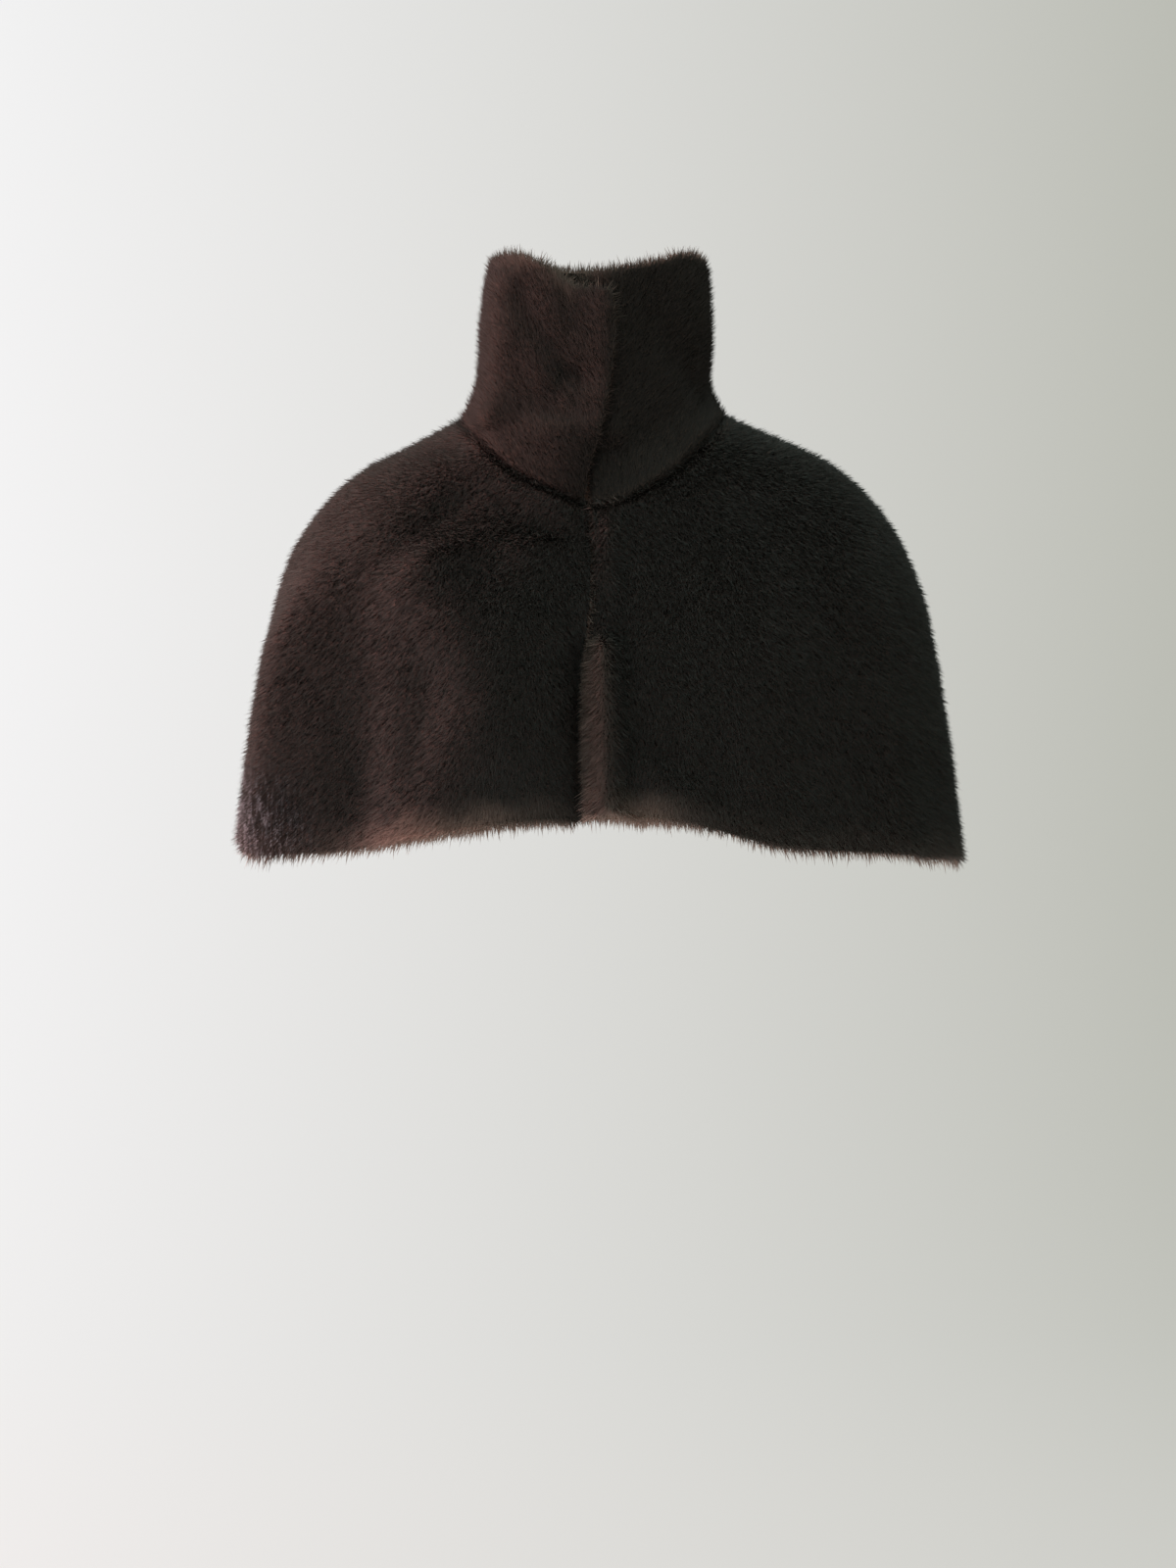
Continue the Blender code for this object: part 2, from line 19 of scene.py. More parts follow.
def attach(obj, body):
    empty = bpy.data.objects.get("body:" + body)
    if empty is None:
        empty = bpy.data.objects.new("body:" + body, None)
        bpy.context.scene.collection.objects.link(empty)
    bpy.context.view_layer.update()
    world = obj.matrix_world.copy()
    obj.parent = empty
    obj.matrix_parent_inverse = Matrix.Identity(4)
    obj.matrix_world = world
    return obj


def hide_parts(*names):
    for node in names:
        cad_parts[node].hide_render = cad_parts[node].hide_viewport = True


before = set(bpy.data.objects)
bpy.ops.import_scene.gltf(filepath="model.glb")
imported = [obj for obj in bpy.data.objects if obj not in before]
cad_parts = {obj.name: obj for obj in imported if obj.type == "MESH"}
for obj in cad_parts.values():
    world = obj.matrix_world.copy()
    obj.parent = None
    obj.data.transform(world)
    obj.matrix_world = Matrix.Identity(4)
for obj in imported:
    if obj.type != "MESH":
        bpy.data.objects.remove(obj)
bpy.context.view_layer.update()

# The cloth
PILE = 0.0052            # how far the dense pile stands over the leather
MERGE = 0.00001
SEWN_BEND = math.radians(60)   # an edge that bends more than this is the edge of a sewn seam
SEAM_STRIP = 0.016       # beside such an edge, a face with a side shorter than this is the seam's own
NECK_REACH = 0.128       # sewn edges nearer the middle than this are the neck seam
FINE_LEVELS = 2
SURFACE_WAVE = 0.0011    # how far the pelts rise and fall
SURFACE_WAVE_SIZE = 0.034
CREASE_WANDER = 0.0016   # how far a crease strays to either side of its line
CREASE_END = 0.25        # the share of its depth that a fading crease still has at its very end

# Edges that meet at the throat, and keep nearly all of their pile: how far round from the front they lie, and
# from which height on. The collar's is measured downwards.
MEETING_EDGES = {"collar": (12.0, 0.010), "front_left": (9.0, -0.190), "front_right": (9.0, -0.110)}
MEETING_MIDDLE = -1.0
MEETING_KEPT = 0.85

# The collar's rim
RIM_RISE = 0.0028        # it stands this much higher than its solid's, but for the right of the lap
LAP_DIP, LAP_DIP_REACH = -70.0, 30.0    # where that is, and how far it reaches
LEFT_RIM_RISE = 0.0165   # on the left, where it passes under the lap, it stands this much higher again
UNDER_LAP = 0.1025       # straight in front, the layer under the lap is nearer the middle than this
UNDER_LAP_SPREAD = 0.0006   # and nearer than this much more for each degree to the left

# The hair
LOCK_BEND = 0.10         # how far a lock's tip bows out, as a share of its length
PILE_SHADING = 0.87      # how far a lock's normals are turned to the skin's
EDGE_LIFT = 70.0         # at hems, rims and front edges the hair stands up this steeply,
EDGE_LONGER = 0.18       # is longer by this share
EDGE_THICKER = 0.8       # and grows thicker by this share
SEAM_LIFT = 62.0         # the same beside the neck seam, so that the hair covers it
SEAM_LONGER = 0.45
SEAM_THICKER = 0.5
# Beside the neck seam the hair gets this much painted shade
SEAM_PAINTED_SHADE = 0.12
SHOULDER_LIE = 13.0      # over the shoulders and chest the hair lies this much flatter
SHADED_CREASE_WIDTH = 0.0095    # creases narrower than this get painted shade in them
CREASE_PAINTED_SHADE = 0.7

# Where the pile opens and its paler underfur shows, with a painted glow on top: light through the thin pile,
# painted most on the lit side
HEM_GLOW = 0.031         # it opens and glows over this much of the cape above the hem
RIM_GLOW = 0.020         # and over this much of the collar below its rim
GLOW_SPACING = 0.022     # more and less of it, over patches of this size
OPENED_HEM = ((-37.0, 15.0, 1.0), (12.0, 9.0, 1.0), (180.0, 40.0, 0.3))   # where round the hem, reach, share
OPENED_HEM_LEAST = 0.15
LAP_RIM, LAP_RIM_REACH = -24.0, 24.0    # the lap's rim is the most opened, and has the most painted glow
LAP_RIM_GLOW = 0.8
# Painted light on the collar's inside below its rim, which lies in shade
INSIDE_RIM_GLOW = 0.5
OTHER_RIM_GLOW = 0.55
FRONT_EDGE_REACH = 12.0  # the front edges open too, within this turn from the front
LEFT_EDGE_TURN = 4.5     # and so does the face of the left front beside its edge, this far round,
LEFT_EDGE_TOP = -0.175   # below the hook
LEFT_EDGE_GLOW = 0.3

Fur = namedtuple("Fur", "locks width length lift tilt seed")
FURS = {
    "front_right": Fur(194000, 0.00076, 0.0068, 50.0, 0.20, 11),
    "front_left": Fur(194000, 0.00076, 0.0068, 50.0, 0.20, 12),
    "back": Fur(194000, 0.00105, 0.0068, 50.0, 0.20, 13),
    "collar": Fur(194000, 0.00074, 0.0066, 50.0, 0.20, 14),
}

TUFT_SIZE = 0.0038       # across one tuft of locks that lean together
TUFT_LEAN = 0.10
SWIRL = 0.35             # how far the nap wanders from side to side
SWIRL_SIZE = 0.06
SWIRL_SEED = 4           # without it, the swirls would lie differently each run

# No two locks are the same length: shares of the length that the skin asks for.
SHORTEST, PLAIN_RANGE = 0.82, 0.25
GUARD_SHARE, GUARD_LONGER, GUARD_WIDER = 6.0, 0.75, 1.1    # the higher the share, the fewer the guard hairs
PLAIN_WIDTH = 0.9
TUFT_SHORT, TUFT_LONG = 0.94, 1.05
LOCK_ROLL = 0.9          # a lock turns on its own length by up to this many radians
TUFT_SHADE = 0.45        # how much of a lock's shade is its tuft's, where 1 is all of it
ROLL_SEED, LENGTH_SEED, SHADE_SEED = 3, 5, 7

# Patches of longer hair, and how much painted sheen lies on its tips, as pale streaks.
Patch = namedtuple("Patch", "name collar across height size longer frost")
PATCHES = (
    Patch("right_hem_corner", False, -0.285, -0.345, 0.075, 0.35, 1.6),
    Patch("left_front_corner_tuft", False, -0.010, -0.326, 0.022, 0.45, 0.3),
    Patch("left_hem_corner", False, 0.300, -0.360, 0.040, 0.15, 0.0),
)

# Creases and dimples, as paths of (degrees round from the front, height). Depth is in, or out if it is less
# than 0, and it fades over the given share of its length at each end.
Crease = namedtuple("Crease", "name path width depth fade")
COLLAR_CREASES = (
    Crease("lap_dimple", ((-14.5, 0.0235), (-10.0, 0.0225)), 0.0080, 0.0030, 0.0),
    Crease("lower_dimple", ((-30.0, 0.0050), (-24.0, 0.0040)), 0.0085, 0.0026, 0.0),
    Crease("lap_corner", ((-53.0, 0.120), (-53.0, -0.020)), 0.0160, -0.0085, 0.1),
    Crease("flat_lap", ((-16.0, 0.120), (-16.0, -0.020)), 0.0240, 0.0070, 0.1),
    Crease("lap_edge_rise", ((8.0, 0.120), (4.0, -0.040)), 0.0110, -0.0060, 0.1),
    Crease("drag_fold", ((-45.0, 0.104), (-14.0, 0.030)), 0.0090, 0.0028, 0.25),
    Crease("dimple_crease", ((-12.0, 0.0215), (5.0, 0.0175)), 0.0050, 0.0016, 0.5),
    Crease("low_right_crease", ((-78.0, 0.010), (-51.0, -0.028)), 0.0055, 0.0038, 0.4),
    Crease("low_right_roll", ((-72.0, 0.024), (-45.0, -0.014)), 0.0090, -0.0022, 0.4),
    Crease("left_drag", ((70.0, 0.000), (28.0, 0.060)), 0.0100, 0.0032, 0.4),
    Crease("left_low_drag", ((82.0, 0.030), (60.0, -0.004)), 0.0080, 0.0034, 0.4),
    Crease("left_shallow", ((40.0, 0.095), (22.0, 0.030)), 0.0120, 0.0020, 0.4),
    Crease("back_soft", ((150.0, 0.030), (205.0, 0.018)), 0.0110, 0.0026, 0.4),
    Crease("back_soft_high", ((215.0, 0.095), (165.0, 0.080)), 0.0140, 0.0018, 0.4),
)
BODY_CREASES = (
    Crease("neck_roll", ((-58.0, -0.043), (-6.0, -0.0915)), 0.0065, -0.0016, 0.3),
    Crease("neck_roll_shade", ((-50.0, -0.070), (-10.0, -0.108)), 0.0090, 0.0024, 0.35),
    Crease("right_shoulder_hollow", ((-60.0, -0.074), (-52.0, -0.098)), 0.0140, 0.0036, 0.3),
    Crease("right_shoulder_crease", ((-84.0, -0.022), (-58.0, -0.030)), 0.0065, 0.0030, 0.5),
    Crease("hook_pinch", ((-4.0, -0.194), (0.0, -0.194)), 0.0085, 0.0050, 0.3),
    Crease("hook_drag_right", ((-6.0, -0.192), (-17.0, -0.166)), 0.0070, 0.0020, 0.5),
    Crease("hook_drag_left", ((0.0, -0.196), (13.0, -0.176)), 0.0080, 0.0020, 0.5),
    Crease(
        "right_front_ridge", ((-60.0, -0.110), (-43.0, -0.165), (-24.5, -0.229), (-18.0, -0.350)),
        0.0260, -0.0168, 0.2,
    ),
    Crease("right_front_hollow", ((-63.0, -0.130), (-56.0, -0.350)), 0.0170, 0.0050, 0.2),
    Crease("right_front_shade", ((-13.0, -0.200), (-11.0, -0.340)), 0.0140, 0.0016, 0.25),
    Crease("right_front_soft", ((-24.0, -0.100), (-22.0, -0.150), (-14.0, -0.215)), 0.0240, -0.0090, 0.25),
    Crease("right_front_step", ((-47.0, -0.190), (-44.0, -0.340)), 0.0150, 0.0045, 0.3),
    Crease("right_side_roll", ((-75.5, -0.140), (-74.5, -0.350)), 0.0170, -0.0150, 0.3),
    Crease("slit_valley", ((-6.0, -0.180), (-6.0, -0.350)), 0.0080, 0.0060, 0.2),
    Crease("left_edge_roll", ((1.6, -0.185), (2.2, -0.360)), 0.0085, -0.0136, 0.12),
    Crease("left_edge_high_roll", ((4.5, -0.082), (2.5, -0.165)), 0.0065, -0.0060, 0.3),
    Crease("left_front_shade", ((27.0, -0.150), (33.0, -0.340)), 0.0140, 0.0034, 0.3),
    Crease("left_front_second", ((47.0, -0.180), (44.0, -0.300)), 0.0110, -0.0026, 0.4),
    Crease("left_side_shade", ((60.0, -0.140), (64.0, -0.350)), 0.0130, 0.0036, 0.3),
    Crease("left_hem_slant", ((7.0, -0.285), (30.0, -0.340)), 0.0110, -0.0050, 0.3),
    Crease("left_shoulder_hollow", ((48.0, -0.062), (62.0, -0.112)), 0.0240, 0.0034, 0.3),
    Crease("back_right_fold", ((214.0, -0.100), (220.0, -0.345)), 0.0150, 0.0038, 0.3),
    Crease("back_right_ridge", ((196.0, -0.140), (192.0, -0.335)), 0.0180, -0.0030, 0.3),
    Crease("back_left_fold", ((139.0, -0.120), (134.0, -0.345)), 0.0160, 0.0038, 0.3),
    Crease("back_left_ridge", ((158.0, -0.080), (163.0, -0.300)), 0.0200, -0.0028, 0.3),
    Crease("back_neck_roll", ((150.0, -0.012), (214.0, -0.016)), 0.0080, -0.0024, 0.4),
)


def linear(code):
    """A colour of the screen's own code, such as '#4a3a32', as linear numbers."""
    parts = [int(code[i : i + 2], 16) / 255 for i in (1, 3, 5)]
    return tuple(c / 12.92 if c <= 0.04045 else ((c + 0.055) / 1.055) ** 2.4 for c in parts)


def add_node(tree, kind, inputs=None, **settings):
    """Adds a node. Each input takes a value, or another node's output."""
    node = tree.nodes.new(kind)
    for name, value in settings.items():
        setattr(node, name, value)
    for key, value in (inputs or {}).items():
        if isinstance(value, bpy.types.NodeSocket):
            tree.links.new(value, node.inputs[key])
        else:
            node.inputs[key].default_value = value
    return node


def ease(value):
    """0 below 0, 1 above 1, and a smooth step between, for one number or many."""
    value = np.clip(value, 0.0, 1.0)
    return value * value * (3 - 2 * value)


# ---------------------------------------------------------------- skins


def places_of(mesh):
    """A mesh's points, as rows of numbers."""
    rows = np.empty(len(mesh.vertices) * 3, np.float32)
    mesh.vertices.foreach_get("co", rows)
    return rows.reshape(-1, 3).astype(float)


def normals_of(mesh):
    """The normals at a mesh's points."""
    rows = np.empty(len(mesh.vertices) * 3, np.float32)
    mesh.vertices.foreach_get("normal", rows)
    return rows.reshape(-1, 3).astype(float)


def furred_normals(mesh):
    """The normals at a skin's points, from the faces that bear hair: a seam's own faces don't count."""
    furred = np.empty(len(mesh.polygons), np.float32)
    mesh.attributes["furred_face"].data.foreach_get("value", furred)
    total = normals_of(mesh) * 1e-9
    for face in mesh.polygons:
        if furred[face.index]:
            total[list(face.vertices)] += face.normal
    return unit(total)


def unit(rows):
    """Each row as a direction of length 1."""
    return rows / np.maximum(np.linalg.norm(rows, axis=1, keepdims=True), 1e-9)


def turn_of(points):
    """How far round from the front each point is, in degrees."""
    return np.degrees(np.arctan2(points[:, 0], -points[:, 1]))


def away_from_middle(points, is_collar):
    """Directions out from the wearer's own middle line: level on the collar, up and out on the shoulders."""
    away = points.copy()
    if is_collar:
        away[:, 2] = 0.0
    else:
        away[:, 2] = points[:, 2] - (np.minimum(points[:, 2], -0.05) - 0.10)
    return unit(away)


def meeting_edge(points, outside, node_name):
    """1 on the edges that meet at the throat, so that nothing shows between them."""
    if node_name not in MEETING_EDGES:
        return np.zeros(len(points))
    reach, top = MEETING_EDGES[node_name]
    high = -points[:, 2] if node_name == "collar" else points[:, 2]
    near = ease((high - top) / 0.025) * ease((reach - np.abs(turn_of(points) - MEETING_MIDDLE)) / 3.0)
    return near * (1.0 - ease((np.abs(outside) - 0.5) / 0.3))


def crease_depth(points, creases):
    """How far in the creases push each point."""
    angle = turn_of(points)
    reach = np.hypot(points[:, 0], points[:, 1])
    depth = np.zeros(len(points))
    for crease in creases:
        shape = np.zeros(len(points))
        legs = len(crease.path) - 1
        for leg, ((start, low), (end, high)) in enumerate(zip(crease.path, crease.path[1:])):
            across = np.radians((angle - start + 180.0) % 360.0 - 180.0) * reach
            up = points[:, 2] - low
            run_across = math.radians((end - start + 180.0) % 360.0 - 180.0) * reach
            run_up = high - low
            share = (across * run_across + up * run_up) / np.hypot(run_across, run_up) ** 2
            nearest = np.clip(share, 0.0, 1.0)
            wander = CREASE_WANDER * np.sin((share + leg) * 5.0 + crease.path[0][0])
            off = np.hypot(across - nearest * run_across + wander, up - nearest * run_up)
            height = np.exp(-0.5 * (off / crease.width) ** 2)
            if crease.fade:
                along = (nearest + leg) / legs
                height *= ease(along / crease.fade) * (1 - CREASE_END) + CREASE_END
                height *= ease((1 - along) / crease.fade) * (1 - CREASE_END) + CREASE_END
            shape = np.maximum(shape, height)
        depth += crease.depth * shape
    return depth


def make_skin(node_name):
    """A fine skin of the node's wall, with the pile taken off its furred faces and the creases pressed in."""
    is_collar = node_name == "collar"
    form = bmesh.new()
    form.from_mesh(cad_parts[node_name].data)
    bmesh.ops.remove_doubles(form, verts=form.verts, dist=MERGE)
    bmesh.ops.join_triangles(
        form, faces=form.faces, angle_face_threshold=math.pi, angle_shape_threshold=math.pi
    )
    form.normal_update()
    crease_layer = form.edges.layers.float.new("crease_edge")
    sewn = set()
    for edge in form.edges:
        if edge.calc_face_angle(0.0) > SEWN_BEND:
            edge[crease_layer] = 1.0
            sewn.update(f for f in edge.link_faces if min(e.calc_length() for e in f.edges) < SEAM_STRIP)
    strips = {f for f in sewn if sum(e[crease_layer] > 0 for e in f.edges) > 1}
    points = np.array([v.co for v in form.verts], float)
    normals = np.zeros_like(points)
    for i, vert in enumerate(form.verts):
        total = Vector()
        for face in vert.link_faces:
            if face not in strips:
                total += face.normal * face.calc_area()
        normals[i] = total.normalized() if total.length > 0 else vert.normal
    away = away_from_middle(points, is_collar)
    outside = (normals * away).sum(1)
    furred = np.ones(len(points)) if is_collar else ease((outside + 0.5) / 0.7)
    furred *= 1.0 - MEETING_KEPT * meeting_edge(points, outside, node_name)
    points -= normals * (PILE * furred)[:, None]
    neck = form.verts.layers.float.new("neck_seam")
    furred_face = form.faces.layers.float.new("furred_face")
    for face in form.faces:
        face[furred_face] = float(face not in strips)
    for vert, point in zip(form.verts, points):
        vert.co = point
        in_seam = any(face in strips for face in vert.link_faces)
        vert[neck] = float(in_seam and math.hypot(point[0], point[1]) < NECK_REACH)
    mesh = bpy.data.meshes.new(node_name + "_skin")
    form.to_mesh(mesh)
    form.free()
    coarse = bpy.data.objects.new(node_name + "_coarse", mesh)
    bpy.context.scene.collection.objects.link(coarse)
    finer = coarse.modifiers.new("fine", "SUBSURF")
    finer.levels = finer.render_levels = FINE_LEVELS
    fine = bpy.data.meshes.new_from_object(coarse.evaluated_get(bpy.context.evaluated_depsgraph_get()))
    bpy.data.objects.remove(coarse)
    press_creases(fine, is_collar)
    skin = bpy.data.objects.new("skin_" + node_name, fine)
    bpy.context.scene.collection.objects.link(skin)
    fine.shade_smooth()
    return skin


def press_creases(mesh, is_collar):
    """Moves a fine skin's points in by the creases, and lets its surface rise and fall a little."""
    points = places_of(mesh)
    away = away_from_middle(points, is_collar)
    depth = crease_depth(points, COLLAR_CREASES if is_collar else BODY_CREASES)
    waves = [noise.noise(Vector(p) / SURFACE_WAVE_SIZE) for p in points]
    depth += np.array(waves) * SURFACE_WAVE
    points -= away * depth[:, None]
    if is_collar:
        turn = turn_of(points)
        reach = np.hypot(points[:, 0], points[:, 1])
        under_lap = ease((UNDER_LAP + UNDER_LAP_SPREAD * turn - reach) / 0.006)
        left_side = under_lap * ease((turn + 34.0) / 22.0) * (1.0 - ease((turn - 45.0) / 50.0))
        not_dipped = 1.0 - np.exp(-(((turn - LAP_DIP) / LAP_DIP_REACH) ** 2))
        rise = RIM_RISE * ease((points[:, 2] - 0.05) / 0.05) * not_dipped
        points[:, 2] += rise + LEFT_RIM_RISE * left_side * ease((points[:, 2] - 0.02) / 0.08)
    mesh.vertices.foreach_set("co", points.astype(np.float32).ravel())
    mesh.update()


def store(mesh, name, values):
    """Stores a number, or a direction, at each point."""
    kind = "FLOAT_VECTOR" if values.ndim == 2 else "FLOAT"
    layer = mesh.attributes.new(name, kind, "POINT")
    layer.data.foreach_set("vector" if values.ndim == 2 else "value", values.astype(np.float32).ravel())


def from_end(points, upward):
    """How far each point is above the hem below it, or with upward at -1, below the rim above it."""
    degrees_in_a_slice = 3.0
    piece_of = ((turn_of(points) + 180.0) / degrees_in_a_slice).astype(int)
    height = points[:, 2] * upward
    end = np.full(piece_of.max() + 1, np.inf)
    np.minimum.at(end, piece_of, height)
    return height - end[piece_of]


def opened_and_glowing_collar(points, outside, turn, uneven, edge):
    """How far the collar's pile is opened and glows with painted light: at its rim, most at the lap's, and on
    the inside below the rim, where it lies in shade.
    """
    at_lap = np.exp(-(((turn - LAP_RIM) / LAP_RIM_REACH) ** 2))
    at_rim = ease((points[:, 2] - 0.06) / 0.03)
    near_rim = ease(1.0 - from_end(points, -1.0) / (RIM_GLOW * uneven))
    glow = near_rim * np.where(outside > 0, LAP_RIM_GLOW * at_lap, INSIDE_RIM_GLOW)
    return np.maximum(edge * at_rim * (OTHER_RIM_GLOW + (1.0 - OTHER_RIM_GLOW) * at_lap), glow)


def opened_and_glowing_body(points, outside, turn, uneven, edge, is_left_front):
    """How far the body's pile is opened and glows with painted light: at its hem, most on the lit side, and
    at its front edges.
    """
    near_hem = ease(1.0 - from_end(points, 1.0) / (HEM_GLOW * uneven))
    opened = sum(share * np.exp(-(((turn - middle) / reach) ** 2)) for middle, reach, share in OPENED_HEM)
    glow = near_hem * np.minimum(opened + OPENED_HEM_LEAST, 1.0)
    if is_left_front:
        below_hook = ease((LEFT_EDGE_TOP - points[:, 2]) / 0.03)
        glow = np.maximum(glow, LEFT_EDGE_GLOW * ease((LEFT_EDGE_TURN - turn) / 5.0) * below_hook)
    near_front = ease((FRONT_EDGE_REACH - np.abs(turn)) / 4.0)
    return np.maximum(edge * np.maximum(near_hem, near_front), glow * (outside > 0))


def comb(skin, node_name):
    """Stores how the hair lies and grows at each point of a skin. Returns how thick it is at each."""
    mesh = skin.data
    fur = FURS[node_name]
    is_collar = node_name == "collar"
    points, normals = places_of(mesh), furred_normals(mesh)
    turn = turn_of(points)
    outside = (normals * away_from_middle(points, is_collar)).sum(1)
    seam = np.empty(len(points), np.float32)
    mesh.attributes["neck_seam"].data.foreach_get("value", seam)
    seam = ease(seam)
    edge = (1.0 - ease((np.abs(outside) - 0.35) / 0.4)) * (1.0 - seam)
    uneven = 1.0 + 0.5 * np.array([noise.noise(Vector(p) / GLOW_SPACING) for p in points])

    # The nap runs up the collar and down the body, and the inside of the body bears no hair.
    upward = np.array([0.0, 0.0, 1.0])
    level = unit(points * np.array([1.0, 1.0, 0.0]))
    if is_collar:
        along = upward * np.clip(outside * 2.0, -1.0, 1.0)[:, None] + level * (0.1 + 0.5 * edge)[:, None]
        cover = np.where(outside > -0.3, 1.0, 0.30 + 0.70 * ease((points[:, 2] - 0.05) / 0.05))
    else:
        along = -upward + level * 0.12
        cover = ease((outside + 0.45) / 0.5)
    swirl = np.array([noise.noise_vector(Vector(p) / SWIRL_SIZE) for p in points]) * SWIRL
    along = along * (1.0 - seam)[:, None] + swirl
    nap = unit(along - normals * (along * normals).sum(1, keepdims=True))

    long, frost = 1.0 + EDGE_LONGER * edge + SEAM_LONGER * seam, np.zeros(len(points))
    # Patches of longer hair; some get painted sheen on their tips.
    for patch in PATCHES:
        if patch.collar == is_collar:
            off = np.hypot(points[:, 0] - patch.across, points[:, 2] - patch.height) / patch.size
            near = ease(1.0 - off) * ease((0.035 - points[:, 1]) / 0.05)
            long += near * patch.longer
            frost += near * patch.frost
    edge *= 1.0 - 0.9 * meeting_edge(points, outside, node_name)
    lift = fur.lift + (EDGE_LIFT - fur.lift) * edge
    lift += (SEAM_LIFT - lift) * seam
    # From here on, edge holds how far the pile is opened: underfur that shows, with a painted glow of light
    # through the thin pile.
    if is_collar:
        edge = opened_and_glowing_collar(points, outside, turn, uneven, edge)
    else:
        lift -= SHOULDER_LIE * ease(normals[:, 2] / 0.55) * (1.0 - seam)
        edge = opened_and_glowing_body(points, outside, turn, uneven, edge, node_name == "front_left")
    # Painted shade in the narrow creases and beside the neck seam: the hair is darker there.
    narrow = [c for c in (COLLAR_CREASES if is_collar else BODY_CREASES) if c.width < SHADED_CREASE_WIDTH]
    painted_shade = CREASE_PAINTED_SHADE * ease((crease_depth(points, narrow) - 0.0005) / 0.0055)
    cover = cover * (1.0 + EDGE_THICKER * edge + SEAM_THICKER * seam)
    store(mesh, "nap", nap)
    store(mesh, "outward", normals)
    store(mesh, "cover", cover)
    store(mesh, "long", fur.length * long)
    store(mesh, "frost", frost)
    store(mesh, "edge", edge)
    store(mesh, "painted_shade", np.maximum(painted_shade, seam * SEAM_PAINTED_SHADE))
    store(mesh, "lift", np.radians(lift))
    return cover


# ---------------------------------------------------------------- hair


def make_lock():
    """One lock: a thin triangle that tapers from its root to its tip. It stands up Z and leans out to Y."""
    mesh = bpy.data.meshes.new("lock")
    mesh.from_pydata([(0.5, 0, 0), (-0.5, 0, 0), (0, LOCK_BEND, 1)], [], [(0, 1, 2)])
    store(mesh, "tip", np.array([0.0, 0.0, 1.0]))
    lock = bpy.data.objects.new("lock", mesh)
    bpy.context.scene.collection.objects.link(lock)
    return lock


def aim_locks(tree, given, read, tufts):
    """Turns each lock: it leans along the nap, again with the tuft it is in, and a little its own way."""
    rise = add_node(tree, "ShaderNodeMath", {0: read["lift"]}, operation="SINE").outputs[0]
    lie = add_node(tree, "ShaderNodeMath", {0: read["lift"]}, operation="COSINE").outputs[0]
    up = add_node(
        tree, "ShaderNodeVectorMath", {0: read["outward"], "Scale": rise}, operation="SCALE"
    ).outputs[0]
    along = add_node(
        tree, "ShaderNodeVectorMath", {0: read["nap"], "Scale": lie}, operation="SCALE"
    ).outputs[0]
    straight = add_node(tree, "ShaderNodeVectorMath", {0: up, 1: along}, operation="ADD").outputs[0]
    middle = (0.5, 0.5, 0.5)
    lean = add_node(
        tree, "ShaderNodeVectorMath", {0: tufts.outputs[1], 1: middle}, operation="SUBTRACT"
    ).outputs[0]
    tuft_push = add_node(
        tree, "ShaderNodeVectorMath", {0: lean, "Scale": TUFT_LEAN}, operation="SCALE"
    ).outputs[0]
    stray = add_node(
        tree, "FunctionNodeRandomValue",
        {0: (-1.0, -1.0, -1.0), 1: (1.0, 1.0, 1.0), "Seed": given["Seed"]}, data_type="FLOAT_VECTOR",
    ).outputs[0]
    stray_push = add_node(
        tree, "ShaderNodeVectorMath", {0: stray, "Scale": given["Tilt"]}, operation="SCALE"
    ).outputs[0]
    leaning = add_node(tree, "ShaderNodeVectorMath", {0: straight, 1: tuft_push}, operation="ADD").outputs[0]
    pointing = add_node(tree, "ShaderNodeVectorMath", {0: leaning, 1: stray_push}, operation="ADD").outputs[0]
    aimed = add_node(tree, "FunctionNodeAlignRotationToVector", {"Vector": pointing}, axis="Z").outputs[0]
    facing = add_node(
        tree, "FunctionNodeAlignRotationToVector",
        {"Rotation": aimed, "Vector": read["outward"]}, axis="Y", pivot_axis="Z",
    ).outputs[0]
    roll = add_node(
        tree, "FunctionNodeRandomValue", {2: -LOCK_ROLL, 3: LOCK_ROLL, "Seed": ROLL_SEED}, data_type="FLOAT"
    ).outputs[1]
    turn = add_node(
        tree, "FunctionNodeAxisAngleToRotation", {"Axis": (0.0, 0.0, 1.0), "Angle": roll}
    ).outputs[0]
    return add_node(
        tree, "FunctionNodeRotateRotation", {0: facing, 1: turn}, rotation_space="LOCAL"
    ).outputs[0]


def size_locks(tree, given, read, tufts):
    """Each lock's size. A few are guard hairs, which are wider and stand out beyond the rest."""
    uneven = add_node(
        tree, "FunctionNodeRandomValue", {2: 0.0, 3: 1.0, "Seed": LENGTH_SEED}, data_type="FLOAT"
    ).outputs[1]
    guard = add_node(tree, "ShaderNodeMath", {0: uneven, 1: GUARD_SHARE}, operation="POWER").outputs[0]
    plain = add_node(
        tree, "ShaderNodeMath", {0: uneven, 1: PLAIN_RANGE, 2: SHORTEST}, operation="MULTIPLY_ADD"
    ).outputs[0]
    share = add_node(
        tree, "ShaderNodeMath", {0: guard, 1: GUARD_LONGER, 2: plain}, operation="MULTIPLY_ADD"
    ).outputs[0]
    in_tuft = add_node(
        tree, "ShaderNodeMapRange", {0: tufts.outputs[0], 1: 0.3, 2: 0.7, 3: TUFT_SHORT, 4: TUFT_LONG}
    ).outputs[0]
    asked = add_node(tree, "ShaderNodeMath", {0: read["long"], 1: share}, operation="MULTIPLY").outputs[0]
    length = add_node(tree, "ShaderNodeMath", {0: asked, 1: in_tuft}, operation="MULTIPLY").outputs[0]
    wider = add_node(
        tree, "ShaderNodeMath", {0: guard, 1: GUARD_WIDER, 2: PLAIN_WIDTH}, operation="MULTIPLY_ADD"
    ).outputs[0]
    width = add_node(tree, "ShaderNodeMath", {0: given["Width"], 1: wider}, operation="MULTIPLY").outputs[0]
    return add_node(tree, "ShaderNodeCombineXYZ", {0: width, 1: length, 2: length}).outputs[0]


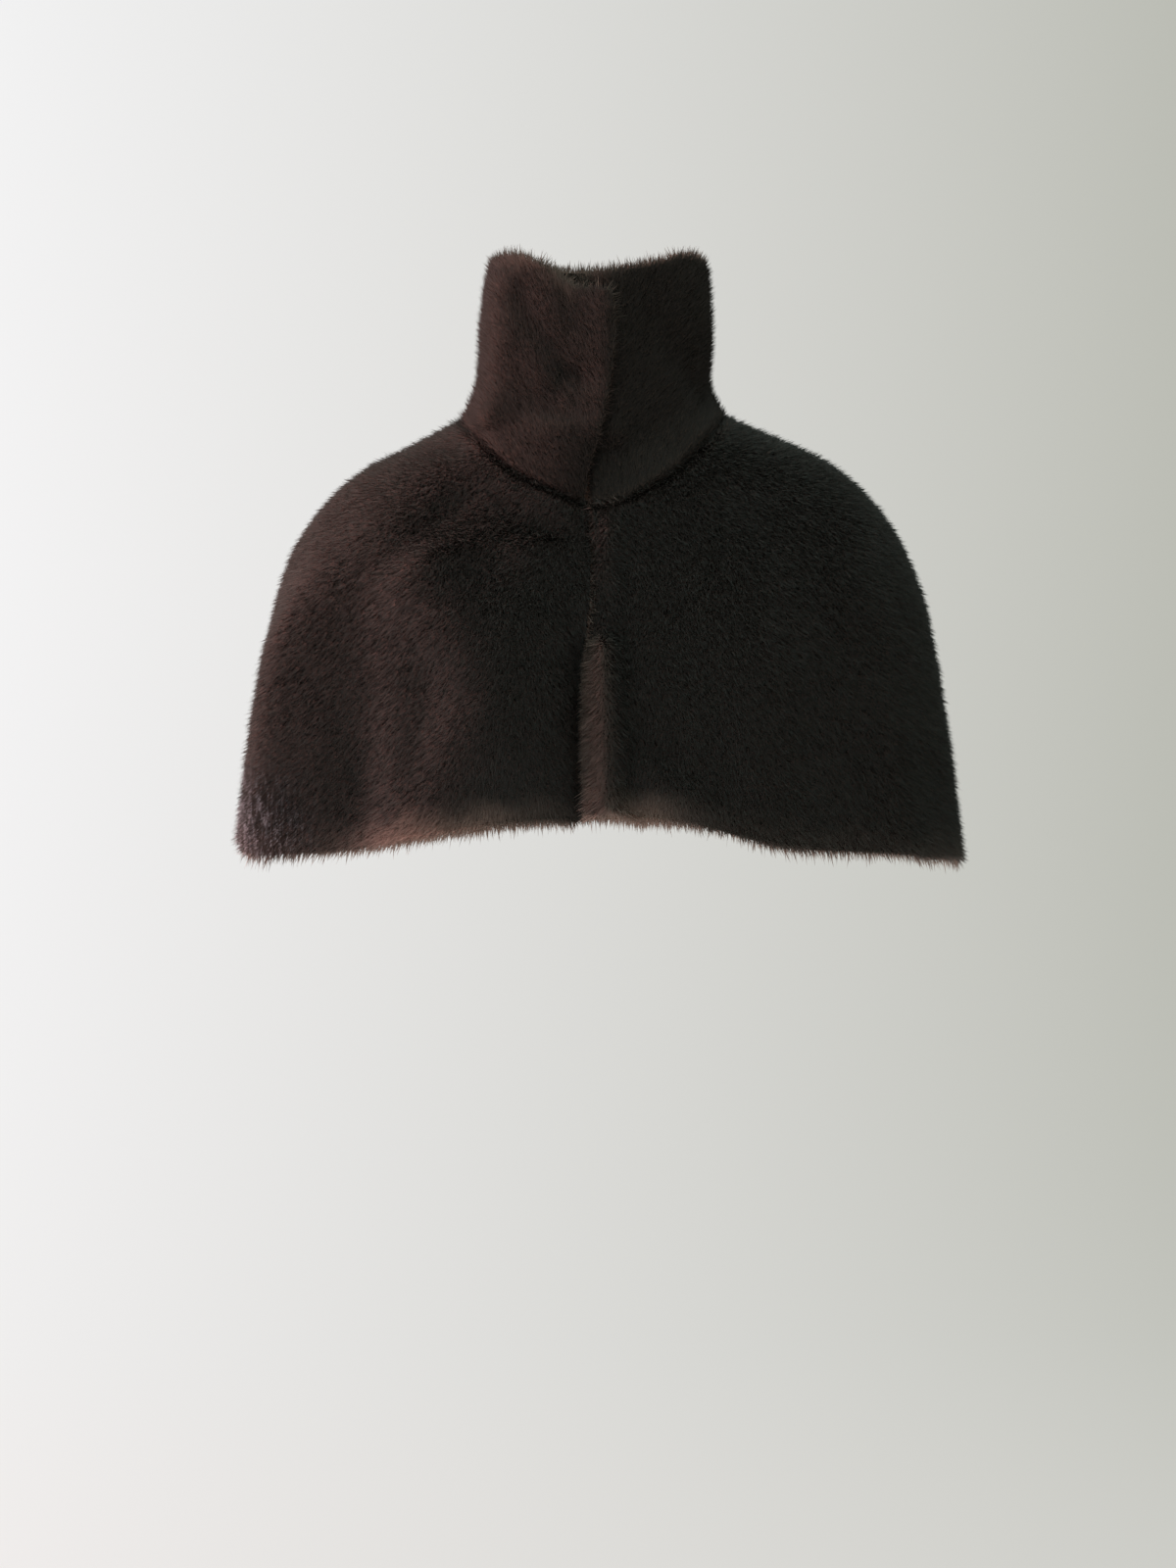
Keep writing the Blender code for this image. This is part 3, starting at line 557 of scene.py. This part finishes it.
def grow_tree():
    """Geometry nodes that root locks in a skin."""
    tree = bpy.data.node_groups.new("grow_fur", "GeometryNodeTree")
    sockets = {}
    for name, kind in (
        ("Skin", "Geometry"), ("Lock", "Object"), ("Locks per square metre", "Float"), ("Width", "Float"),
        ("Tilt", "Float"), ("Tuft Size", "Float"), ("Seed", "Int"), ("Hair", "Material"),
    ):
        sockets[name] = tree.interface.new_socket(name, in_out="INPUT", socket_type="NodeSocket" + kind)
    tree.interface.new_socket("Fur", in_out="OUTPUT", socket_type="NodeSocketGeometry")
    given = add_node(tree, "NodeGroupInput").outputs
    read = {
        name: add_node(tree, "GeometryNodeInputNamedAttribute", {"Name": name}, data_type=kind).outputs[0]
        for name, kind in (
            ("cover", "FLOAT"), ("nap", "FLOAT_VECTOR"), ("outward", "FLOAT_VECTOR"), ("long", "FLOAT"),
            ("lift", "FLOAT"), ("furred_face", "FLOAT"),
        )
    }
    density = add_node(
        tree, "ShaderNodeMath", {0: read["cover"], 1: given["Locks per square metre"]}, operation="MULTIPLY"
    ).outputs[0]
    roots = add_node(
        tree, "GeometryNodeDistributePointsOnFaces",
        {"Mesh": given["Skin"], "Selection": read["furred_face"], "Density": density, "Seed": given["Seed"]},
        distribute_method="RANDOM",
    )
    place = add_node(tree, "GeometryNodeInputPosition").outputs[0]
    tuft_scale = add_node(
        tree, "ShaderNodeMath", {0: 1.0, 1: given["Tuft Size"]}, operation="DIVIDE"
    ).outputs[0]
    tufts = add_node(tree, "ShaderNodeTexNoise", {"Vector": place, "Scale": tuft_scale, "Detail": 1.0})
    rotation = aim_locks(tree, given, read, tufts)
    size = size_locks(tree, given, read, tufts)
    # A lock's shade goes from 0 to 1: partly its own, and partly its tuft's.
    own = add_node(
        tree, "FunctionNodeRandomValue", {2: 0.0, 3: 1.0, "Seed": SHADE_SEED}, data_type="FLOAT"
    ).outputs[1]
    shade = add_node(
        tree, "ShaderNodeMix", {0: TUFT_SHADE, 2: own, 3: tufts.outputs[0]}, data_type="FLOAT"
    ).outputs[0]
    shaded = add_node(
        tree, "GeometryNodeStoreNamedAttribute",
        {"Geometry": roots.outputs["Points"], "Name": "shade", "Value": shade},
        data_type="FLOAT", domain="POINT",
    )
    lock = add_node(tree, "GeometryNodeObjectInfo", {"Object": given["Lock"]}).outputs["Geometry"]
    locks = add_node(
        tree, "GeometryNodeInstanceOnPoints",
        {"Points": shaded.outputs[0], "Instance": lock, "Rotation": rotation, "Scale": size},
    )
    real = add_node(tree, "GeometryNodeRealizeInstances", {"Geometry": locks.outputs[0]})
    finished = add_node(
        tree, "GeometryNodeSetMaterial", {"Geometry": real.outputs[0], "Material": given["Hair"]}
    )
    add_node(tree, "NodeGroupOutput", {0: finished.outputs[0]})
    return tree, {name: socket.identifier for name, socket in sockets.items()}


def grow(skin, node_name, tree, sockets, lock, hair, cover):
    """The hair of one skin, as a mesh of its own."""
    fur = FURS[node_name]
    mesh = skin.data
    areas = np.zeros(len(mesh.polygons))
    mesh.polygons.foreach_get("area", areas)
    cover_of = [np.mean([cover[v] for v in face.vertices]) for face in mesh.polygons]
    covered = sum(area * thickness for area, thickness in zip(areas, cover_of))
    ground = bpy.data.objects.new("ground", mesh.copy())
    bpy.context.scene.collection.objects.link(ground)
    growth = ground.modifiers.new("fur", "NODES")
    growth.node_group = tree
    growth[sockets["Lock"]] = lock
    growth[sockets["Locks per square metre"]] = fur.locks / covered
    growth[sockets["Width"]] = fur.width
    growth[sockets["Tilt"]] = fur.tilt
    growth[sockets["Tuft Size"]] = TUFT_SIZE
    growth[sockets["Seed"]] = fur.seed
    growth[sockets["Hair"]] = hair
    grown = bpy.data.meshes.new_from_object(ground.evaluated_get(bpy.context.evaluated_depsgraph_get()))
    bpy.data.objects.remove(ground)
    soften_normals(grown)
    for name in NOT_FOR_HAIR:
        if name in grown.attributes:
            grown.attributes.remove(grown.attributes[name])
    chart_locks(grown)
    piece = bpy.data.objects.new("fur_" + node_name, grown)
    bpy.context.scene.collection.objects.link(piece)
    print(piece.name, len(grown.polygons), "faces")
    return piece


def soften_normals(mesh):
    """Turns each lock's normals most of the way to the skin's, so that light falls on the pile as a whole."""
    outward = np.empty(len(mesh.vertices) * 3, np.float32)
    mesh.attributes["outward"].data.foreach_get("vector", outward)
    mixed = outward.reshape(-1, 3) * PILE_SHADING + normals_of(mesh) * (1 - PILE_SHADING)
    mesh.shade_smooth()
    mesh.normals_split_custom_set_from_vertices(unit(mixed))


def chart_locks(mesh):
    """A map for the locks, each in a small square of its own."""
    corners = np.empty(len(mesh.loops), np.int32)
    mesh.loops.foreach_get("vertex_index", corners)
    lock, corner = corners // 3, corners % 3
    wide = math.ceil(math.sqrt(len(mesh.vertices) / 3))
    spots = np.array([(0.06, 0.06), (0.94, 0.06), (0.5, 0.94)])
    places = (np.stack([lock % wide, lock // wide], 1) + spots[corner]) / wide
    layer = mesh.uv_layers.new(name="OFBake")
    layer.uv.foreach_set("vector", places.astype(np.float32).ravel())


# ---------------------------------------------------------------- materials


# How light the locks are, and how dark the painted shade makes them
LOCK_DARKEST, LOCK_LIGHTEST = 1.70, 2.30
FULL_PAINTED_SHADE = 0.5
OPENED_PILE_AND_GLOW = 0.8        # how much of the opened pile's colour shows at a hem or rim: underfur, with a painted glow of light on top
LIGHT_THROUGH = 0.5      # the share of the light that goes through a lock, as from behind

# Patterns, as how many grains of each lie along a metre: across, deep and high for the painted sheen's
# streaks
SHEEN_STREAKS = (330.0, 330.0, 55.0)
WOOL_GRAINS, WOOL_PATCHES = 900.0, 60.0
SUEDE_GRAINS, SUEDE_CLOUDS = 1400.0, 22.0
JAPAN_GRAINS = 700.0


def new_material(name):
    """An empty material, and its nodes."""
    material = bpy.data.materials.new(name)
    material.use_nodes = True
    material.node_tree.nodes.clear()
    return material, material.node_tree


def finish_material(tree, inputs):
    """Ends a material's nodes with its shader."""
    shader = add_node(tree, "ShaderNodeBsdfPrincipled", inputs)
    add_node(tree, "ShaderNodeOutputMaterial", {"Surface": shader.outputs[0]})


def hair_colour(tree, along, frost, root, middle, tip, opened_pile_and_glow):
    """The colour up a lock, with painted sheen in pale streaks on the tips and the brown of an opened pile
    with its painted glow. Returns the sheen's streaks too.
    """
    lower = add_node(tree, "ShaderNodeMapRange", {0: along, 1: 0.1, 2: 0.5}).outputs[0]
    upper = add_node(tree, "ShaderNodeMapRange", {0: along, 1: 0.3, 2: 0.8}).outputs[0]
    base = add_node(
        tree, "ShaderNodeMix", {0: lower, 6: (*linear(root), 1), 7: (*linear(middle), 1)}, data_type="RGBA"
    ).outputs[2]
    ends = add_node(
        tree, "ShaderNodeMix", {0: upper, 6: base, 7: (*linear(tip), 1)}, data_type="RGBA"
    ).outputs[2]
    # Where the painted sheen lies, it is in streaks 3 mm wide that hang down.
    place = add_node(tree, "ShaderNodeTexCoord").outputs["Object"]
    hanging = add_node(tree, "ShaderNodeVectorMath", {0: place, 1: SHEEN_STREAKS}, operation="MULTIPLY").outputs[0]
    streaks = add_node(
        tree, "ShaderNodeTexNoise", {"Vector": hanging, "Scale": 1.0, "Detail": 1.0}
    ).outputs[0]
    streaked = add_node(tree, "ShaderNodeMapRange", {0: streaks, 1: 0.50, 2: 0.62}).outputs[0]
    streaked_sheen = add_node(tree, "ShaderNodeMath", {0: frost, 1: streaked}, operation="MULTIPLY").outputs[0]
    sheen_on_tips = add_node(
        tree, "ShaderNodeMath", {0: streaked_sheen, 1: upper}, operation="MULTIPLY", use_clamp=True
    ).outputs[0]
    sheened = add_node(
        tree, "ShaderNodeMix", {0: sheen_on_tips, 6: ends, 7: (*linear("#86868c"), 1)}, data_type="RGBA"
    ).outputs[2]
    # At hems and rims the pile opens and its brown underfur shows, with a painted glow of light through the
    # thin pile on top.
    edge = add_node(tree, "ShaderNodeAttribute", attribute_name="edge").outputs["Fac"]
    opened_and_glow_share = add_node(tree, "ShaderNodeMath", {0: edge, 1: OPENED_PILE_AND_GLOW}, operation="MULTIPLY").outputs[0]
    opened = add_node(
        tree, "ShaderNodeMix", {0: opened_and_glow_share, 6: sheened, 7: (*linear(opened_pile_and_glow), 1)}, data_type="RGBA"
    ).outputs[2]
    return opened, streaked_sheen


def fur_hair(name, root, middle, tip, opened_pile_and_glow):
    """Fur pelts, dyed dark brown, sheared to an even pile and glazed.

    The underfur at the root is browner and lighter than the cut tips. The glaze leaves the tips a soft, low
    shine, and the light that a lock lets through keeps the pile from looking like scales.
    """
    material, tree = new_material(name)
    along, shade, frost, painted_shade = (
        add_node(tree, "ShaderNodeAttribute", attribute_name=what).outputs["Fac"]
        for what in ("tip", "shade", "frost", "painted_shade")
    )
    opened, streaked_sheen = hair_colour(tree, along, frost, root, middle, tip, opened_pile_and_glow)
    # Painted shade: the pile is darker in creases, beside the neck seam and between the painted sheen's
    # streaks.
    shade_between_streaks = add_node(tree, "ShaderNodeMath", {0: frost, 1: streaked_sheen}, operation="SUBTRACT").outputs[0]
    all_painted_shade = add_node(
        tree, "ShaderNodeMath", {0: painted_shade, 1: shade_between_streaks}, operation="ADD", use_clamp=True
    ).outputs[0]
    painted_shade_factor = add_node(tree, "ShaderNodeMapRange", {0: all_painted_shade, 3: 1.0, 4: FULL_PAINTED_SHADE}).outputs[0]
    strength = add_node(
        tree, "ShaderNodeMapRange", {0: shade, 1: 0.2, 2: 0.8, 3: LOCK_DARKEST, 4: LOCK_LIGHTEST}
    ).outputs[0]
    depth = add_node(tree, "ShaderNodeMath", {0: strength, 1: painted_shade_factor}, operation="MULTIPLY").outputs[0]
    colour = add_node(tree, "ShaderNodeVectorMath", {0: opened, "Scale": depth}, operation="SCALE").outputs[0]
    rough = add_node(tree, "ShaderNodeMapRange", {0: along, 3: 0.95, 4: 0.75}).outputs[0]
    front = add_node(
        tree, "ShaderNodeBsdfPrincipled",
        {"Base Color": colour, "Roughness": rough, "Specular IOR Level": 0.24, "IOR": 1.55},
    ).outputs[0]
    through = add_node(tree, "ShaderNodeBsdfTranslucent", {"Color": colour}).outputs[0]
    both = add_node(tree, "ShaderNodeMixShader", {0: LIGHT_THROUGH, 1: front, 2: through}).outputs[0]
    add_node(tree, "ShaderNodeOutputMaterial", {"Surface": both})
    return material


def underfur(name, colour):
    """The dense woolly underfur at the leather: matt, and darker in the hollows of its bump, painted shade.
    """
    material, tree = new_material(name)
    place = add_node(tree, "ShaderNodeTexCoord").outputs["Object"]
    # The wool's real crimp is a few tenths of a millimetre, so it is drawn coarser, to show.
    wool = add_node(
        tree, "ShaderNodeTexNoise", {"Vector": place, "Scale": WOOL_GRAINS, "Detail": 2.0}
    ).outputs[0]
    patches = add_node(
        tree, "ShaderNodeTexNoise", {"Vector": place, "Scale": WOOL_PATCHES, "Detail": 2.0}
    ).outputs[0]
    # Painted shade: the wool is darker where its bump lies lower.
    shade = add_node(tree, "ShaderNodeMapRange", {0: wool, 1: 0.3, 2: 0.7, 3: 0.6, 4: 1.2}).outputs[0]
    blend = add_node(
        tree, "ShaderNodeMix",
        {0: patches, 6: (*linear(colour), 1), 7: (*linear("#1c1412"), 1)}, data_type="RGBA",
    ).outputs[2]
    dyed = add_node(tree, "ShaderNodeVectorMath", {0: blend, "Scale": shade}, operation="SCALE").outputs[0]
    bump = add_node(tree, "ShaderNodeBump", {"Height": wool, "Strength": 0.8, "Distance": 0.0008}).outputs[0]
    finish_material(tree, {"Base Color": dyed, "Roughness": 0.95, "Specular IOR Level": 0.1, "Normal": bump})
    return material


def suede_backing():
    """The pelts' leather side, dyed with the fur and sueded: matt, with a fine short nap and soft clouds."""
    material, tree = new_material("dyed_suede_backing")
    place = add_node(tree, "ShaderNodeTexCoord").outputs["Object"]
    # The suede's real nap is a tenth of a millimetre, so it is drawn coarser, to show.
    nap = add_node(
        tree, "ShaderNodeTexNoise", {"Vector": place, "Scale": SUEDE_GRAINS, "Detail": 3.0}
    ).outputs[0]
    clouds = add_node(
        tree, "ShaderNodeTexNoise", {"Vector": place, "Scale": SUEDE_CLOUDS, "Detail": 4.0}
    ).outputs[0]
    base = add_node(
        tree, "ShaderNodeMix",
        {0: clouds, 6: (*linear("#4f3b30"), 1), 7: (*linear("#6b5344"), 1)}, data_type="RGBA",
    ).outputs[2]
    shade = add_node(tree, "ShaderNodeMapRange", {0: nap, 1: 0.3, 2: 0.7, 3: 0.85, 4: 1.12}).outputs[0]
    dyed = add_node(tree, "ShaderNodeVectorMath", {0: base, "Scale": shade}, operation="SCALE").outputs[0]
    bump = add_node(tree, "ShaderNodeBump", {"Height": nap, "Strength": 0.5, "Distance": 0.0003}).outputs[0]
    finish_material(
        tree,
        {
            "Base Color": dyed, "Roughness": 0.9, "Specular IOR Level": 0.15,
            "Sheen Weight": 0.2, "Sheen Roughness": 0.5, "Normal": bump,
        },
    )
    return material


def japanned_wire():
    """Steel wire with a baked black lacquer: glossy, uneven in its gloss, and worn through in small spots."""
    material, tree = new_material("black_japanned_wire")
    place = add_node(tree, "ShaderNodeTexCoord").outputs["Object"]
    worn = add_node(
        tree, "ShaderNodeTexNoise", {"Vector": place, "Scale": JAPAN_GRAINS, "Detail": 2.0}
    ).outputs[0]
    spots = add_node(tree, "ShaderNodeMapRange", {0: worn, 1: 0.62, 2: 0.72}).outputs[0]
    colour = add_node(
        tree, "ShaderNodeMix",
        {0: spots, 6: (*linear("#141312"), 1), 7: (*linear("#5c5853"), 1)}, data_type="RGBA",
    ).outputs[2]
    rough = add_node(tree, "ShaderNodeMapRange", {0: worn, 1: 0.3, 2: 0.7, 3: 0.22, 4: 0.42}).outputs[0]
    finish_material(tree, {"Base Color": colour, "Roughness": rough})
    return material


# ---------------------------------------------------------------- stage


FLOOR = -1.37            # the soles of a wearer whose shoulders are at the origin
FLOOR_FRONT, FLOOR_BACK = -40.0, 2.6
SWEEP_BEND, SWEEP_STEPS = 1.6, 12
WALL_TOP = 5.0
STAGE_HALF = 40.0
LIT_HALF = 1.6           # the sweep's own light falls off across this much to each side
SWEEP_GLOW = 0.92
LIGHTS = (               # name, place, size, power, colour: a window low at one side, and a soft top light
    ("key", (-3.0, 0.28, 0.7), 1.6, 152.0, "#ffcfca"),
    ("top", (0.3, -0.6, 2.4), 1.8, 37.0, "#e2f2ec"),
)
LIGHTS_AIM = (0.0, 0.0, -0.1)
ROOM_LIGHT = 0.185
CAMERA_PLACE = (-0.0092, -2.2, -0.307)
CAMERA_LENS, SENSOR = 59.35, 36.0


def make_stage():
    """A pale floor that sweeps up into a wall behind the cape, and glows a little, as if it were lit."""
    profile = [(FLOOR_FRONT, FLOOR), (FLOOR_BACK, FLOOR)]
    for i in range(1, SWEEP_STEPS + 1):
        turn = math.radians(90 * i / SWEEP_STEPS)
        profile.append((FLOOR_BACK + SWEEP_BEND * math.sin(turn), FLOOR + SWEEP_BEND * (1 - math.cos(turn))))
    profile.append((FLOOR_BACK + SWEEP_BEND, WALL_TOP))
    verts = [(x, y, z) for x in (-STAGE_HALF, STAGE_HALF) for y, z in profile]
    count = len(profile)
    faces = [(i, count + i, count + i + 1, i + 1) for i in range(count - 1)]
    mesh = bpy.data.meshes.new("studio_sweep")
    mesh.from_pydata(verts, [], faces)
    mesh.shade_smooth()
    mesh.materials.append(studio_paper())
    sweep = bpy.data.objects.new("studio_sweep", mesh)
    bpy.context.scene.collection.objects.link(sweep)


def studio_paper():
    """Matt background paper with painted light: it glows, more on one side than on the other."""
    material, tree = new_material("studio_paper")
    place = add_node(tree, "ShaderNodeTexCoord").outputs["Object"]
    across = add_node(tree, "ShaderNodeSeparateXYZ", {0: place}).outputs[0]
    tone = add_node(tree, "ShaderNodeMapRange", {0: across, 1: -LIT_HALF, 2: LIT_HALF}).outputs[0]
    glow = add_node(
        tree, "ShaderNodeMix",
        {0: tone, 6: (*linear("#f4f4f5"), 1), 7: (*linear("#b3b5ac"), 1)}, data_type="RGBA",
    ).outputs[2]
    finish_material(
        tree,
        {
            "Base Color": (0.12, 0.12, 0.12, 1), "Roughness": 1.0, "Specular IOR Level": 0.0,
            "Emission Color": glow, "Emission Strength": SWEEP_GLOW,
        },
    )
    return material


def make_lights():
    for name, place, size, power, colour in LIGHTS:
        data = bpy.data.lights.new(name, "AREA")
        data.shape = "DISK"
        data.size = size
        data.energy = power
        data.color = linear(colour)
        lamp = bpy.data.objects.new(name, data)
        lamp.location = place
        lamp.rotation_euler = (Vector(LIGHTS_AIM) - Vector(place)).to_track_quat("-Z", "Y").to_euler()
        bpy.context.scene.collection.objects.link(lamp)


def make_world():
    """Pale all round where it shows, and much dimmer as a light."""
    world = bpy.data.worlds.new("studio")
    world.use_nodes = True
    tree = world.node_tree
    tree.nodes.clear()
    seen = add_node(tree, "ShaderNodeBackground", {0: (*linear("#dcdcda"), 1), 1: 1.0}).outputs[0]
    light = add_node(tree, "ShaderNodeBackground", {0: (*linear("#c8f2e2"), 1), 1: ROOM_LIGHT}).outputs[0]
    shows = add_node(tree, "ShaderNodeLightPath").outputs["Is Camera Ray"]
    both = add_node(tree, "ShaderNodeMixShader", {0: shows, 1: light, 2: seen}).outputs[0]
    add_node(tree, "ShaderNodeOutputWorld", {0: both})
    bpy.context.scene.world = world


def make_camera():
    data = bpy.data.cameras.new("camera")
    data.sensor_width = SENSOR
    data.lens = CAMERA_LENS
    data.clip_start, data.clip_end = 0.05, 60.0
    camera = bpy.data.objects.new("camera", data)
    camera.location = CAMERA_PLACE
    camera.rotation_euler = (math.radians(90), 0.0, 0.0)
    bpy.context.scene.collection.objects.link(camera)
    bpy.context.scene.camera = camera


# ---------------------------------------------------------------- the cape

# Finished size of each panel, cut flat, and the area of its own outline: they are fans and not rectangles.
Cut = namedtuple("Cut", "width length area")
FURRED_SIDE, BACKING = 0, 1
NOT_FOR_HAIR = ("nap", "outward", "cover", "long", "lift", "neck_seam", "furred_face")
FOR_HAIR = ("frost", "edge", "painted_shade")


def line_inside(skin, backing):
    """Gives the faces that face the wearer the backing."""
    mesh = skin.data
    mesh.materials.append(backing)
    centres = np.array([face.center for face in mesh.polygons], float)
    normals = np.array([face.normal for face in mesh.polygons], float)
    inside = (normals * away_from_middle(centres, False)).sum(1) < -0.25
    mesh.polygons.foreach_set("material_index", np.where(inside, BACKING, FURRED_SIDE).astype(np.int32))


def main():
    noise.seed_set(SWIRL_SEED)
    body_hair = fur_hair("sheared_brown_fur", "#62514c", "#474341", "#3a3a38", "#a89187")
    # The collar's fur is a darker copy of the body's fur: painted shade.
    collar_hair_painted_darker = fur_hair("collar_fur_painted_darker", "#51433d", "#36312e", "#2d2927", "#675a52")
    wool = underfur("brown_underfur", "#3c3430")
    backing = suede_backing()
    lock = make_lock()
    tree, sockets = grow_tree()
    skins, furs = {}, {}
    for node_name in FURS:
        skin = make_skin(node_name)
        cover = comb(skin, node_name)
        skin.data.materials.clear()
        skin.data.materials.append(wool)
        hair = collar_hair_painted_darker if node_name == "collar" else body_hair
        furs[node_name] = grow(skin, node_name, tree, sockets, lock, hair, cover)
        if node_name != "collar":
            line_inside(skin, backing)
        for name in NOT_FOR_HAIR + FOR_HAIR:
            skin.data.attributes.remove(skin.data.attributes[name])
        skins[node_name] = skin
    bpy.data.objects.remove(lock)
    for node_name, skin in skins.items():
        slot = "collar_fur" if node_name == "collar" else "brown_fur"
        for piece in (skin, furs[node_name]):
            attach(piece, "root")
        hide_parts(node_name)
    wire = japanned_wire()
    for node_name in ("front_hook", "front_eye"):
        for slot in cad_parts[node_name].material_slots:
            slot.material = wire
    make_stage()
    make_world()
    make_lights()
    make_camera()
    bpy.context.scene.view_settings.view_transform = "Standard"


main()
